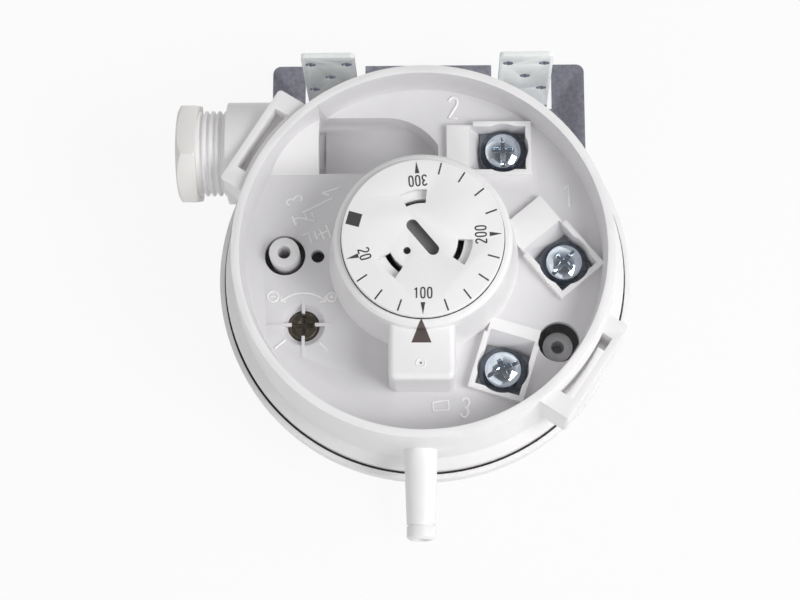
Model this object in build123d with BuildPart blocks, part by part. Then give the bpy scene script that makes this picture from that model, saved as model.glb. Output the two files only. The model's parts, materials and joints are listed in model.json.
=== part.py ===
from build123d import *
from math import cos, radians, sin
import os

# Differential pressure switch lying on its back, with its cover taken off.
# Z = 0 is the back face of the mounting bracket and +Z points to the dial.
# The hose spigots point along -Y. All sizes are in millimetres.

# Front housing: the moulded cup
rim_radius = 42.5
rim_height = 46.0
rim_wall = 1.8
wall_draft = 1.1
inner_draft = 0.8
floor_height = 36.6
floor_thickness = 2.2
mechanism_radius = 41.2
ledge_radius = 39.6

# Seam between the two housings
seam_height = 19.4
flange_reach = 3.5
flange_thickness = 3.4
flange_slope = 2.4

# Rear housing: a collar, a flange and a shallow dish
collar_gap = 0.5
collar_wall = 1.1
collar_lip = 0.8
rear_flange_thickness = 3.0
dish_radius = 40.0
dish_wall = 1.8
dish_back = 2.0
rib_thickness = 1.6
rib_height = 6.5

# Dial and the tower that carries it
dial_radius = 17.7
dial_thickness = 1.3
dial_gap = 0.3
tower_height = 52.6
tower_top_radius = 18.7
tower_base_radius = 21.3
tower_wall = 2.2
tower_shoulder = 0.8
hub_radius = 7.6
hub_bore_radius = 5.5
hub_length = 8.4
hub_hole_radius = 9.0
hook_reach = 10.4
hook_thickness = 2.3
window_inner_radius = 7.7
window_outer_radius = 10.9
window_span = 32.0
window_angles = (101.0, -19.0, -139.0)
driver_slot_length = 9.6
driver_slot_width = 2.6
driver_slot_depth = 2.0
driver_slot_angle = -50.5
peg_hole_radius = 0.8
peg_hole_place = (-3.4, -3.0)

# Pointer block in front of the dial
pointer_block_width = 14.9
pointer_block_front = 30.7
pointer_block_shift = -0.3
pointer_block_step = 2.4
pointer_block_corner = 1.9
pointer_block_edge = 1.4
pointer_block_wall = 2.0

# Terminals: screw centre, the way the closed end of the chamber faces, start of the ramp
terminal_places = {1: (31.5, -1.1, -50.0), 2: (18.1, 25.2, 0.0), 3: (17.5, -25.6, -107.0)}
ramp_starts = {1: 15.0, 2: 12.8, 3: 10.5}
recess_angles = {1: 48.0, 2: 90.0, 3: 24.0}
chamber_half_width = 6.3
chamber_end = 6.3
chamber_wall = 1.2
chamber_top = 38.8
chamber_mouth = 6.8
chamber_slab = 1.6
ramp_top = 38.2
ramp_edge = 7.8
ramp_foot = 5.2
terminal_plate_top = 33.6
terminal_plate_thickness = 1.0
washer_radius = 5.45
washer_relief = 0.3
washer_thickness = 0.9
screw_head_radius = 4.0
screw_head_height = 2.9
screw_head_dome = 1.1
screw_shank_radius = 1.95
screw_length = 6.4
screw_boss_radius = 3.2
thread_clearance = 0.05
face_clearance = 0.05
tongue_width = 3.0
tongue_thickness = 0.6
leg_clearance = 0.2
tongue_legs = {1: (-4.8, -1.5, 0), 2: (0, -4.6, 90), 3: (-4.8, -0.6, 0)}
cross_length = 4.4
cross_width = 1.1
cross_depth = 1.7
slot_width = 0.95
slot_depth = 1.0

# Cable gland
gland_y = 26.6
gland_z = 31.4
boss_radius = 11.7
boss_root = -30.0
boss_reach = 2.2
thread_radius = 9.8
thread_pitch = 1.5
thread_depth = 0.7
thread_turns = 4
thread_start = 0.9
spigot_length = 9.0
cable_bore_radius = 6.0
nut_across_flats = 22.0
nut_turn = 18.0
nut_gap = 6.8
nut_length = 4.5
nut_wall = 1.0
nut_hole_radius = 6.4
gland_washer_thickness = 0.5
seal_hole_radius = 4.0
seal_flange = 0.6
seal_length = 7.3
gland_block_radius = 8.6
gland_block_root = -40.2

# Cable trough
trough_left = -23.7
trough_right = 3.4
trough_bend = -8.7
trough_radius = 6.65
trough_wall = 1.3
trough_bottom = 26.5

# Hose spigots
port_x = -0.8
front_port_z = 32.5
front_port_tip = 62.9
rear_port_z = 9.6
rear_port_tip = 58.5
port_radius = 3.65
port_tip_radius = 3.15
port_bore_radius = 1.7
port_groove = 3.4

# Clip loops for the cover
clip_angles = (148.0, -33.5)
clip_shift = -2.4
clip_reach = 47.3
clip_width = 24.6
clip_bar = 1.6
clip_corner = 0.9
clip_slot_width = 16.0
clip_bottom = 30.0
clip_top = 44.6
clip_slot_floor = 39.2

# Mechanism plate with its two pillars
plate_top = 23.9
plate_thickness = 1.6
plate_clearance = 0.2
skirt_width = 2.0
left_pillar = (-31.2, 0.8)
left_pillar_top = 39.4
right_pillar = (30.0, -19.4)
right_pillar_top = 30.9
pillar_radius = 3.4
pillar_bore_radius = 1.45
pillar_hole_radius = 4.6
vent_hole = (-23.8, 0.6)
vent_hole_radius = 1.5
spring_opening_radius = 12.5

# Differential screw and its slider
differential_place = (-26.9, -15.2)
differential_head_radius = 3.4
differential_head_height = 2.15
differential_head_top = 35.4
differential_shank_radius = 1.5
differential_shank_end = 26.8
differential_dish_radius = 4.9
dish_depth = 1.5
dish_taper = 38.0
differential_boss_radius = 5.4
spoke_width = 0.7
spoke_inner = 2.6
spoke_gap = 0.3
spoke_height = 0.2
spoke_reach = {0: 7.4, 90: 5.3, 180: 8.2, 270: 7.4}
differential_boss_bottom = 31.0
collar_radius = 2.6
collar_thickness = 0.6
slider_size = 6.4
slider_bottom = 27.6
slider_thickness = 2.2
slider_guide = 1.2
differential_spring_radius = 2.3
differential_spring_wire = 0.5
differential_spring_turns = 3.5

# Diaphragm and its plates
bead_thickness = 0.8
bead_height = 1.5
diaphragm_thickness = 0.6
roll_inset = 5.7
roll_radius = 3.1
piston_margin = 1.2
piston_thickness = 1.2
piston_ring_radius = 9.9
piston_ring_wall = 1.0
piston_ring_height = 2.3
clamp_disc_margin = 2.0
clamp_disc_thickness = 1.0
stud_radius = 1.5

# Range spring and its seat
spring_radius = 8.2
spring_wire = 0.9
spring_turns = 6.5
seat_travel_room = 3.2
seat_flange = 1.4
seat_radius = 10.6
seat_pilot_radius = 7.0
seat_pilot_length = 1.5
seat_key_reach = 15.2
seat_key_width = 3.0
seat_key_clearance = 0.15
seat_stud_length = 9.0
key_rib_thickness = 1.2
key_rib_reach = 13.6
key_rib_below = 3.0
key_rib_above = 5.0

# Contact lever, working along Y on a pin
lever_x = 18.1
lever_pin_y = -15.0
lever_z = 27.5
lever_thickness = 0.5
lever_width = 3.2
lever_end = 14.6
lever_eye_radius = 1.4
plunger_y = -4.0
plunger_radius = 1.2
plunger_gap = 0.2
contact_y = 12.5
contact_radius = 1.3
contact_shank_radius = 0.7
contact_height = 0.5
contact_gap = 0.15
contact_travel = 1.2
pin_radius = 0.6
ear_thickness = 0.7
ear_gap = 0.2
ear_height = 3.2
yoke_height = 29.6

# Fasteners
housing_screw_count = 8
housing_screw_circle = 43.2
housing_screw_radius = 1.5
housing_screw_head = 2.6
housing_screw_head_height = 1.9
housing_screw_length = 7.6
bracket_screw_count = 3
bracket_screw_circle = 12.0
bracket_screw_radius = 1.45
bracket_screw_head = 2.6
bracket_screw_length = 7.4
bracket_boss_radius = 3.4
bracket_boss_height = 6.4
hole_clearance = 0.2
fit_clearance = 0.02

# Mounting bracket
bracket_thickness = 1.2
bracket_width = 77.0
bracket_top = 59.0
bracket_bottom = -26.0
bracket_shift = 0.9
bracket_corner = 2.0
tab_root = 48.2
tab_offset = 23.0
tab_width = 12.4
tab_height = 36.0
tab_corner = 1.2
tab_relief = 1.2
bend_radius = 0.8
tab_hole_radius = 1.2
tab_hole_columns = 8.4
tab_hole_rows = 16.8
tab_hole_centre = 22.9

# Places worked out from the sizes above
floor_under = floor_height - floor_thickness
bowl_top_radius = rim_radius - rim_wall
bowl_floor_radius = bowl_top_radius - inner_draft
wall_foot = seam_height + flange_thickness
plate_bottom = plate_top - plate_thickness
rear_seam = seam_height - bead_thickness
rear_flange_back = rear_seam - rear_flange_thickness
dish_floor = bracket_thickness + dish_back
dish_inner_radius = dish_radius - dish_wall
roll_centre = dish_radius - roll_inset
piston_radius = roll_centre - roll_radius - piston_margin
clamp_disc_radius = piston_radius - clamp_disc_margin
flange_radius = rim_radius + flange_reach
collar_inner = flange_radius + collar_gap
collar_outer = collar_inner + collar_wall
collar_top = seam_height + collar_lip
dial_bottom = tower_height + dial_gap
dial_top = dial_bottom + dial_thickness
hub_bottom = tower_height - hub_length
seat_bottom = hub_bottom - seat_travel_room
seat_stud_top = seat_bottom + seat_stud_length
key_rib_bottom = seat_bottom - key_rib_below
key_rib_top = seat_bottom + key_rib_above
pointer_block_height = tower_height - pointer_block_step
tower_plate_bottom = tower_height - tower_wall
hook_top = tower_plate_bottom - dial_gap
slab_top = terminal_plate_top - terminal_plate_thickness
slab_bottom = slab_top - chamber_slab
washer_bottom = terminal_plate_top + face_clearance
head_bottom = washer_bottom + washer_thickness + face_clearance
chamber_inner = chamber_half_width - chamber_wall
screw_end = head_bottom - screw_length
piston_bottom = seam_height + 0.1
piston_top = piston_bottom + piston_thickness
web_top = piston_bottom
web_bottom = web_top - diaphragm_thickness
trough_centre = trough_bottom + trough_radius
boss_end = -rim_radius - boss_reach
spigot_end = boss_end - spigot_length
nut_inner = boss_end - nut_gap
nut_outer = nut_inner - nut_length
nut_bore_radius = thread_radius + thread_clearance
nut_floor = nut_outer + nut_wall
lever_top = lever_z + lever_thickness
lower_contact_top = lever_z - contact_height - contact_gap
upper_contact_bottom = lever_top + contact_height + contact_travel + contact_gap
collar_bottom = differential_boss_bottom - hole_clearance - collar_thickness
housing_screw_turns = [(i + 0.5) * 360 / housing_screw_count for i in range(housing_screw_count)]
bracket_screw_turns = [90 + i * 360 / bracket_screw_count for i in range(bracket_screw_count)]
tab_centres = (bracket_shift - tab_offset, bracket_shift + tab_offset)
gland_section = Plane(origin=(0, gland_y, gland_z), x_dir=(1, 0, 0), z_dir=(0, -1, 0))
gland_axis = Axis((0, gland_y, gland_z), (1, 0, 0))


def gland_plane(x):
    """Plane across the gland axis, facing out to the left."""
    return Plane(origin=(x, gland_y, gland_z), x_dir=(0, -1, 0), z_dir=(-1, 0, 0))


def port_plane(distance, z):
    """Plane across a hose spigot, facing out along -Y."""
    return Plane(origin=(port_x, -distance, z), x_dir=(1, 0, 0), z_dir=(0, -1, 0))


def port_section(z):
    """Plane along a hose spigot: local X runs out along it."""
    return Plane(origin=(port_x, 0, z), x_dir=(0, -1, 0), z_dir=(1, 0, 0))


def terminal_plane(number, z):
    """Plane of one terminal: local X points to the closed end of its chamber."""
    x, y, turn = terminal_places[number]
    return Plane(origin=(x, y, z), x_dir=(cos(radians(turn)), sin(radians(turn)), 0), z_dir=(0, 0, 1))


def terminal_section(number):
    """Upright plane through one terminal: local X as above, local Y is height."""
    x, y, turn = terminal_places[number]
    along = (cos(radians(turn)), sin(radians(turn)), 0)
    return Plane(origin=(x, y, 0), x_dir=along, z_dir=(sin(radians(turn)), -cos(radians(turn)), 0))


def turned_plane(angle, z):
    """Level plane whose local X points out from the housing axis at this angle."""
    return Plane(origin=(0, 0, z), x_dir=(cos(radians(angle)), sin(radians(angle)), 0), z_dir=(0, 0, 1))


def upright_plane(angle):
    """Plane through the housing axis: local X points out, local Y is height."""
    along = (cos(radians(angle)), sin(radians(angle)), 0)
    return Plane(origin=(0, 0, 0), x_dir=along, z_dir=(sin(radians(angle)), -cos(radians(angle)), 0))


def local_place(number, x, y):
    """A place of the part, in the local frame of one terminal."""
    point = terminal_plane(number, 0).to_local_coords(Vector(x, y, 0))
    return point.X, point.Y


def lever_pin_plane(offset):
    """Plane across the pin of the contact lever, at this distance from the lever's middle."""
    return Plane(
        origin=(lever_x + offset, lever_pin_y, lever_z + lever_thickness / 2),
        x_dir=(0, 1, 0),
        z_dir=(1, 0, 0),
    )


def ring_sector(inner, outer, span):
    """Sketch of a ring sector about local X."""
    with BuildSketch() as sector:
        with BuildLine():
            low = CenterArc((0, 0), inner, -span / 2, span)
            high = CenterArc((0, 0), outer, -span / 2, span)
            Line(low @ 0, high @ 0)
            Line(low @ 1, high @ 1)
        make_face()
    return sector.sketch


def hose_spigot(z, root, tip, bore_root):
    """Hose spigot: taper, retaining groove, straight end with a rounded tip, and bore."""
    with BuildSketch() as profile:
        with BuildLine():
            Polyline(
                (bore_root, port_bore_radius),
                (bore_root, port_radius),
                (root, port_radius),
                (tip - port_groove, port_tip_radius),
                (tip - port_groove, port_tip_radius - 0.35),
                (tip - port_groove + 0.5, port_tip_radius - 0.35),
                (tip - port_groove + 0.5, port_tip_radius),
                (tip - 0.6, port_tip_radius),
                (tip, port_tip_radius - 0.6),
                (tip, port_bore_radius),
                close=True,
            )
        make_face()
    return revolve(port_section(z) * profile.sketch, axis=Axis((port_x, 0, z), (0, -1, 0)))


def trough_form(wall, top):
    """U-shaped trough along X with one rounded corner, grown by a wall."""
    half = trough_radius + wall
    with BuildPart() as form:
        with BuildSketch(Plane(origin=(trough_left - wall, gland_y, 0), x_dir=(0, 1, 0), z_dir=(1, 0, 0))):
            with BuildLine():
                Line((half, trough_centre), (half, top))
                Line((half, top), (-half, top))
                Line((-half, top), (-half, trough_centre))
                RadiusArc((-half, trough_centre), (half, trough_centre), -half)
            make_face()
        extrude(amount=trough_right - trough_left + 2 * wall)
        with BuildSketch(Plane.XY.offset(trough_bottom - wall - 1)):
            with BuildLine():
                edge = Polyline(
                    (trough_right + wall, gland_y),
                    (trough_right + wall, gland_y - half - 1),
                    (trough_left - wall, gland_y - half - 1),
                    (trough_left - wall, gland_y + half),
                    (trough_bend, gland_y + half),
                )
                TangentArc(edge @ 1, edge @ 0, tangent=(1, 0))
            make_face()
        extrude(amount=top - trough_bottom + wall + 2, mode=Mode.INTERSECT)
    return form.part


def save(piece, name):
    """Label one finished piece and write it to its own file."""
    piece.part.label = name
    export_step(piece.part, f"parts/{name}.step")


os.makedirs("parts", exist_ok=True)

# Front housing: the outside first, then the hollows, then what stands in them
front_spigot = hose_spigot(front_port_z, flange_radius, front_port_tip, mechanism_radius)
clip_root = rim_radius - clip_width / 4
with BuildSketch() as clip_slot_form:
    with Locations(((clip_root + clip_reach - clip_bar) / 2, clip_shift)):
        Rectangle(clip_reach - clip_bar - clip_root, clip_slot_width)
    Circle(rim_radius + wall_draft, mode=Mode.SUBTRACT)
clip_slot = clip_slot_form.sketch
with BuildPart() as pointer_block:
    with BuildSketch(Plane.XY.offset(floor_under)):
        with Locations((pointer_block_shift, -pointer_block_front / 2)):
            RectangleRounded(pointer_block_width, pointer_block_front, pointer_block_corner)
    extrude(amount=pointer_block_height - floor_under, taper=0.8)
    fillet(pointer_block.faces().sort_by(Axis.Z)[-1].edges(), radius=pointer_block_edge)
trough_outside = trough_form(trough_wall, floor_under + 1)
trough_inside = trough_form(0, rim_height)

with BuildPart() as front_housing:
    with BuildSketch(Plane.XZ):
        with BuildLine():
            Polyline(
                (0, seam_height),
                (flange_radius, seam_height),
                (flange_radius, wall_foot),
                (rim_radius + wall_draft, wall_foot + flange_slope),
                (rim_radius, rim_height),
                (0, rim_height),
                close=True,
            )
        make_face()
    revolve(axis=Axis.Z)
    # Clip loops for the cover
    for angle in clip_angles:
        with BuildSketch(turned_plane(angle, clip_bottom)):
            with Locations(((clip_root + clip_reach) / 2, clip_shift)):
                RectangleRounded(clip_reach - clip_root, clip_width, clip_corner)
        extrude(amount=clip_top - clip_bottom)
        with BuildSketch(turned_plane(angle, clip_bottom)):
            add(clip_slot)
        extrude(amount=clip_top - clip_bottom, mode=Mode.SUBTRACT)
    # Gland boss and spigot, with the slot of the clip loop cut into the boss
    with BuildSketch(gland_plane(boss_root)):
        Circle(boss_radius)
    extrude(amount=boss_root - boss_end)
    with BuildSketch(gland_plane(boss_end)):
        Circle(thread_radius)
    extrude(amount=boss_end - spigot_end)
    with BuildSketch(turned_plane(clip_angles[0], clip_slot_floor)):
        add(clip_slot)
    extrude(amount=clip_top - clip_slot_floor, mode=Mode.SUBTRACT)
    # Room for the collar of the rear housing under the gland boss
    with BuildSketch(Plane.XY.offset(seam_height - 1)):
        Circle(flange_radius + 2 * boss_radius)
        Circle(flange_radius, mode=Mode.SUBTRACT)
    extrude(amount=collar_lip + 2 * dial_gap + 1, mode=Mode.SUBTRACT)
    # Front hose spigot
    add(front_spigot)
    # Bowl above the floor
    with BuildSketch(Plane.XZ):
        with BuildLine():
            Polyline(
                (0, floor_height),
                (bowl_floor_radius, floor_height),
                (bowl_top_radius, rim_height),
                (0, rim_height),
                close=True,
            )
        make_face()
    revolve(axis=Axis.Z, mode=Mode.SUBTRACT)
    # Mechanism space below the floor
    with BuildSketch(Plane.XY.offset(seam_height)):
        Circle(ledge_radius)
    extrude(amount=floor_under - seam_height, mode=Mode.SUBTRACT)
    # Dial tower, pointer block and the half round over the gland bore
    with BuildSketch(Plane.XZ):
        with BuildLine():
            Polyline(
                (0, floor_under),
                (tower_base_radius, floor_under),
                (tower_base_radius, floor_height),
                (tower_top_radius + 2 * tower_shoulder, tower_height - 8),
                (tower_top_radius + tower_shoulder, tower_height - tower_shoulder),
                (tower_top_radius, tower_height),
                (0, tower_height),
                close=True,
            )
        make_face()
    revolve(axis=Axis.Z)
    add(pointer_block)
    with BuildSketch(gland_plane(trough_left)):
        Circle(gland_block_radius)
    extrude(amount=trough_left - gland_block_root)
    # Cable trough
    add(trough_outside)
    # Terminal chambers with their ramps and screw bosses
    for number, start in ramp_starts.items():
        with BuildSketch(terminal_plane(number, slab_bottom)):
            with Locations(((chamber_end - chamber_mouth) / 2, 0)):
                Rectangle(chamber_end + chamber_mouth, 2 * chamber_half_width)
        extrude(amount=chamber_top - slab_bottom)
        with BuildSketch(terminal_plane(number, slab_bottom)):
            with Locations((-(start + chamber_mouth) / 2, 0)):
                Rectangle(start - chamber_mouth, 2 * chamber_half_width - chamber_wall)
        extrude(amount=ramp_top - slab_bottom)
        with BuildSketch(terminal_plane(number, slab_bottom)):
            Circle(screw_boss_radius)
        extrude(amount=screw_end - slab_bottom - 1)
    # Boss of the differential screw, with the guide for its slider
    with BuildSketch(Plane.XY.offset(differential_boss_bottom)):
        with Locations(differential_place):
            Circle(differential_boss_radius)
    extrude(amount=floor_under - differential_boss_bottom)
    with BuildSketch(Plane.XY.offset(slider_bottom)):
        with Locations(differential_place):
            with Locations((0, slider_size / 2 + seat_key_clearance + slider_guide / 2)):
                Rectangle(slider_size, slider_guide)
    extrude(amount=floor_under - slider_bottom)
    # Inside of the tower, with ribs that keep the spring seat from turning
    with BuildSketch(Plane.XZ):
        with BuildLine():
            Polyline(
                (0, floor_under),
                (tower_top_radius + 2 * tower_shoulder - tower_wall, floor_under),
                (tower_top_radius + 2 * tower_shoulder - tower_wall, tower_height - 8),
                (tower_top_radius + tower_shoulder - tower_wall, tower_plate_bottom),
                (0, tower_plate_bottom),
                close=True,
            )
        make_face()
    revolve(axis=Axis.Z, mode=Mode.SUBTRACT)
    rib_offset = seat_key_width / 2 + seat_key_clearance + key_rib_thickness / 2
    with BuildSketch(Plane.XY.offset(key_rib_bottom)):
        with GridLocations(key_rib_reach + tower_top_radius, 2 * rib_offset, 2, 2):
            Rectangle(tower_top_radius - key_rib_reach, key_rib_thickness)
    extrude(amount=key_rib_top - key_rib_bottom)
    with BuildSketch(Plane.XY.offset(tower_plate_bottom)):
        Circle(hub_hole_radius)
    extrude(amount=tower_wall, mode=Mode.SUBTRACT)
    # Hollow of the pointer block, open to the space below
    with BuildSketch(Plane.XY.offset(floor_under)):
        hollow_front = pointer_block_front - pointer_block_wall
        hollow_length = hollow_front - tower_base_radius
        with Locations((pointer_block_shift, -(hollow_front + tower_base_radius) / 2)):
            RectangleRounded(pointer_block_width - 2 * pointer_block_wall, hollow_length, 1.0)
    extrude(amount=pointer_block_height - floor_thickness - floor_under, taper=0.8, mode=Mode.SUBTRACT)
    # Hollow of the trough and the bore that leads to it
    add(trough_inside, mode=Mode.SUBTRACT)
    with BuildSketch(gland_plane(trough_left + 1)):
        Circle(cable_bore_radius)
    extrude(amount=trough_left + 1 - spigot_end, mode=Mode.SUBTRACT)
    # Thread ridges on the spigot
    for turn in range(thread_turns):
        groove_x = boss_end - thread_pitch * (turn + thread_start)
        with BuildSketch(gland_section):
            with BuildLine():
                Polyline(
                    (groove_x - 0.55, thread_radius + 0.01),
                    (groove_x - 0.2, thread_radius - thread_depth),
                    (groove_x + 0.2, thread_radius - thread_depth),
                    (groove_x + 0.55, thread_radius + 0.01),
                    close=True,
                )
            make_face()
        revolve(axis=gland_axis, mode=Mode.SUBTRACT)
    # Inside of each terminal chamber: slope, washer relief, screw hole and tongue slot
    for number in terminal_places:
        with BuildSketch(terminal_section(number)):
            with BuildLine():
                Polyline(
                    (chamber_end - chamber_wall, slab_top),
                    (-ramp_foot, slab_top),
                    (-ramp_edge, ramp_top),
                    (-ramp_edge, rim_height),
                    (chamber_end - chamber_wall, rim_height),
                    close=True,
                )
            make_face()
        extrude(amount=chamber_inner, both=True, mode=Mode.SUBTRACT)
        with BuildSketch(terminal_plane(number, terminal_plate_top)):
            Circle(washer_radius + washer_relief)
        extrude(amount=rim_height - terminal_plate_top, mode=Mode.SUBTRACT)
        with BuildSketch(terminal_plane(number, screw_end - 0.3)):
            Circle(screw_shank_radius + 2 * hole_clearance)
        extrude(amount=slab_top - screw_end + 0.3, mode=Mode.SUBTRACT)
        along, across, turn = tongue_legs[number]
        with BuildSketch(terminal_plane(number, slab_bottom)):
            with Locations((along, across)):
                Rectangle(tongue_thickness + leg_clearance, tongue_width + leg_clearance, rotation=turn)
        extrude(amount=chamber_slab, mode=Mode.SUBTRACT)
    # Round holes in the floor, and the dish of the differential screw
    with BuildSketch(Plane.XY.offset(floor_under)):
        with Locations(left_pillar, right_pillar):
            Circle(pillar_hole_radius)
        with Locations(vent_hole):
            Circle(vent_hole_radius)
    extrude(amount=floor_thickness, mode=Mode.SUBTRACT)
    with BuildSketch(Plane.XY.offset(differential_boss_bottom)):
        with Locations(differential_place):
            Circle(differential_shank_radius + hole_clearance)
    extrude(amount=floor_height - differential_boss_bottom, mode=Mode.SUBTRACT)
    head_seat = differential_head_top - differential_head_height - hole_clearance
    with BuildSketch(Plane.XY.offset(head_seat)):
        with Locations(differential_place):
            Circle(differential_head_radius + hole_clearance)
    extrude(amount=floor_height - head_seat, mode=Mode.SUBTRACT)
    with BuildSketch(Plane.XY.offset(floor_height)):
        with Locations(differential_place):
            Circle(differential_dish_radius)
    extrude(amount=-dish_depth, taper=dish_taper, mode=Mode.SUBTRACT)
    # Four ribs that reach over the head of the differential screw
    for turn, reach in spoke_reach.items():
        middle = (spoke_inner + reach) / 2
        spoke_x = differential_place[0] + middle * cos(radians(turn))
        spoke_y = differential_place[1] + middle * sin(radians(turn))
        with BuildSketch(Plane.XY.offset(differential_head_top + spoke_gap)):
            with Locations((spoke_x, spoke_y)):
                Rectangle(reach - spoke_inner, spoke_width, rotation=turn)
        extrude(amount=floor_height + spoke_height - differential_head_top - spoke_gap)
    # Bore of the hose spigot, open to the space below the floor
    with BuildSketch(port_plane(ledge_radius - 1, front_port_z)):
        Circle(port_bore_radius)
    extrude(amount=flange_radius - ledge_radius + 2, mode=Mode.SUBTRACT)
    # Holes for the housing screws, and the room of the mechanism plate
    for angle in housing_screw_turns:
        with BuildSketch(turned_plane(angle, seam_height)):
            with Locations((housing_screw_circle, 0)):
                Circle(housing_screw_radius + fit_clearance)
        extrude(amount=rear_flange_back + housing_screw_length + 0.3 - seam_height, mode=Mode.SUBTRACT)
    with BuildSketch(Plane.XY.offset(seam_height)):
        Circle(mechanism_radius)
    extrude(amount=plate_top + face_clearance - seam_height, mode=Mode.SUBTRACT)

save(front_housing, "front_housing")

# Rear housing: shallow dish with a flange and a collar round the front flange
rear_spigot = hose_spigot(rear_port_z, dish_radius + 3, rear_port_tip, dish_inner_radius + 0.9)

with BuildPart() as rear_housing:
    with BuildSketch(Plane.XZ):
        with BuildLine():
            Polyline(
                (0, bracket_thickness),
                (dish_radius - 1.2, bracket_thickness),
                (dish_radius, bracket_thickness + 1.2),
                (dish_radius, rear_flange_back),
                (collar_outer, rear_flange_back),
                (collar_outer, collar_top),
                (collar_inner, collar_top),
                (collar_inner, rear_seam),
                (dish_inner_radius, rear_seam),
                (dish_inner_radius, dish_floor),
                (0, dish_floor),
                close=True,
            )
        make_face()
    revolve(axis=Axis.Z)
    # Ribs under the flange, left out where the hose spigot comes through
    for i in range(housing_screw_count):
        if i * 360 / housing_screw_count != 270:
            with BuildSketch(upright_plane(i * 360 / housing_screw_count)):
                Polygon(
                    (dish_radius - 0.5, rear_flange_back),
                    (dish_radius - 0.5, rear_flange_back - rib_height),
                    (collar_outer - 0.6, rear_flange_back - 1),
                    (collar_outer - 0.6, rear_flange_back),
                    align=None,
                )
            extrude(amount=rib_thickness / 2, both=True)
    # Bosses for the bracket screws
    for angle in bracket_screw_turns:
        with BuildSketch(turned_plane(angle, dish_floor)):
            with Locations((bracket_screw_circle, 0)):
                Circle(bracket_boss_radius)
        extrude(amount=bracket_boss_height)
        with BuildSketch(turned_plane(angle, bracket_thickness)):
            with Locations((bracket_screw_circle, 0)):
                Circle(bracket_screw_radius + fit_clearance)
        extrude(amount=bracket_screw_length + 0.3, mode=Mode.SUBTRACT)
    for angle in housing_screw_turns:
        with BuildSketch(turned_plane(angle, rear_flange_back)):
            with Locations((housing_screw_circle, 0)):
                Circle(housing_screw_radius + hole_clearance)
        extrude(amount=rear_flange_thickness, mode=Mode.SUBTRACT)
    # Rear hose spigot and the bore into the dish
    add(rear_spigot)
    with BuildSketch(port_plane(dish_inner_radius - 1, rear_port_z)):
        Circle(port_bore_radius)
    extrude(amount=5, mode=Mode.SUBTRACT)

save(rear_housing, "rear_housing")

# Diaphragm: bead between the housings, a rolled fold and a flat middle
with BuildPart() as diaphragm:
    with BuildSketch(Plane.XZ):
        with BuildLine():
            outer_roll = roll_radius + diaphragm_thickness
            Polyline(
                (stud_radius, web_top),
                (roll_centre - roll_radius, web_top),
                (roll_centre - roll_radius, web_bottom),
            )
            ThreePointArc(
                (roll_centre - roll_radius, web_bottom),
                (roll_centre, web_bottom - roll_radius),
                (roll_centre + roll_radius, web_bottom),
            )
            Polyline(
                (roll_centre + roll_radius, web_bottom),
                (roll_centre + roll_radius, seam_height),
                (flange_radius + 0.05, seam_height),
                (flange_radius + 0.05, seam_height + bead_height - bead_thickness),
                (collar_inner - 0.03, seam_height + bead_height - bead_thickness),
                (collar_inner - 0.03, rear_seam),
                (roll_centre + outer_roll - 0.05, rear_seam),
            )
            ThreePointArc(
                (roll_centre + outer_roll - 0.05, rear_seam),
                (roll_centre, web_bottom - outer_roll),
                (roll_centre - outer_roll, web_bottom),
            )
            Polyline(
                (roll_centre - outer_roll, web_bottom),
                (stud_radius, web_bottom),
                (stud_radius, web_top),
            )
        make_face()
    revolve(axis=Axis.Z)
    for angle in housing_screw_turns:
        with BuildSketch(turned_plane(angle, rear_seam)):
            with Locations((housing_screw_circle, 0)):
                Circle(housing_screw_radius + hole_clearance)
        extrude(amount=bead_thickness, mode=Mode.SUBTRACT)

save(diaphragm, "diaphragm")

# Diaphragm plate: disc with a ring for the range spring and the plunger of the lever
with BuildPart() as diaphragm_plate:
    with BuildSketch(Plane.XY.offset(piston_bottom)):
        Circle(piston_radius)
        Circle(stud_radius + fit_clearance, mode=Mode.SUBTRACT)
    extrude(amount=piston_thickness)
    with BuildSketch(Plane.XY.offset(piston_top)):
        Circle(piston_ring_radius + piston_ring_wall)
        Circle(piston_ring_radius, mode=Mode.SUBTRACT)
    extrude(amount=piston_ring_height)
    with BuildSketch(Plane.XY.offset(piston_top)):
        with Locations((lever_x, plunger_y)):
            Circle(plunger_radius)
    extrude(amount=lever_z - plunger_gap - piston_top)

save(diaphragm_plate, "diaphragm_plate")

# Clamp disc under the diaphragm, with the stud that is riveted over the plate
with BuildPart() as diaphragm_clamp_disc:
    with BuildSketch(Plane.XZ):
        Polygon(
            (0, web_bottom - clamp_disc_thickness),
            (clamp_disc_radius, web_bottom - clamp_disc_thickness),
            (clamp_disc_radius, web_bottom),
            (stud_radius, web_bottom),
            (stud_radius, piston_top),
            (2 * stud_radius, piston_top),
            (stud_radius, piston_top + 0.8),
            (0, piston_top + 0.8),
            align=None,
        )
    revolve(axis=Axis.Z)

save(diaphragm_clamp_disc, "diaphragm_clamp_disc")


def coil_spring(radius, wire, turns, bottom, top, place=(0, 0)):
    """Round-wire compression spring standing between two heights."""
    height = top - bottom - wire - 2 * fit_clearance
    foot = (place[0], place[1], bottom + wire / 2 + fit_clearance)
    with BuildPart() as spring:
        with BuildLine():
            coil = Helix(pitch=height / turns, height=height, radius=radius, center=foot)
        with BuildSketch(Plane(origin=coil @ 0, z_dir=coil % 0)):
            Circle(wire / 2)
        sweep(is_frenet=True)
    return spring


# Range spring and the seat that the dial winds up and down
range_spring = coil_spring(spring_radius, spring_wire, spring_turns, piston_top, seat_bottom)
save(range_spring, "range_spring")

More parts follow.
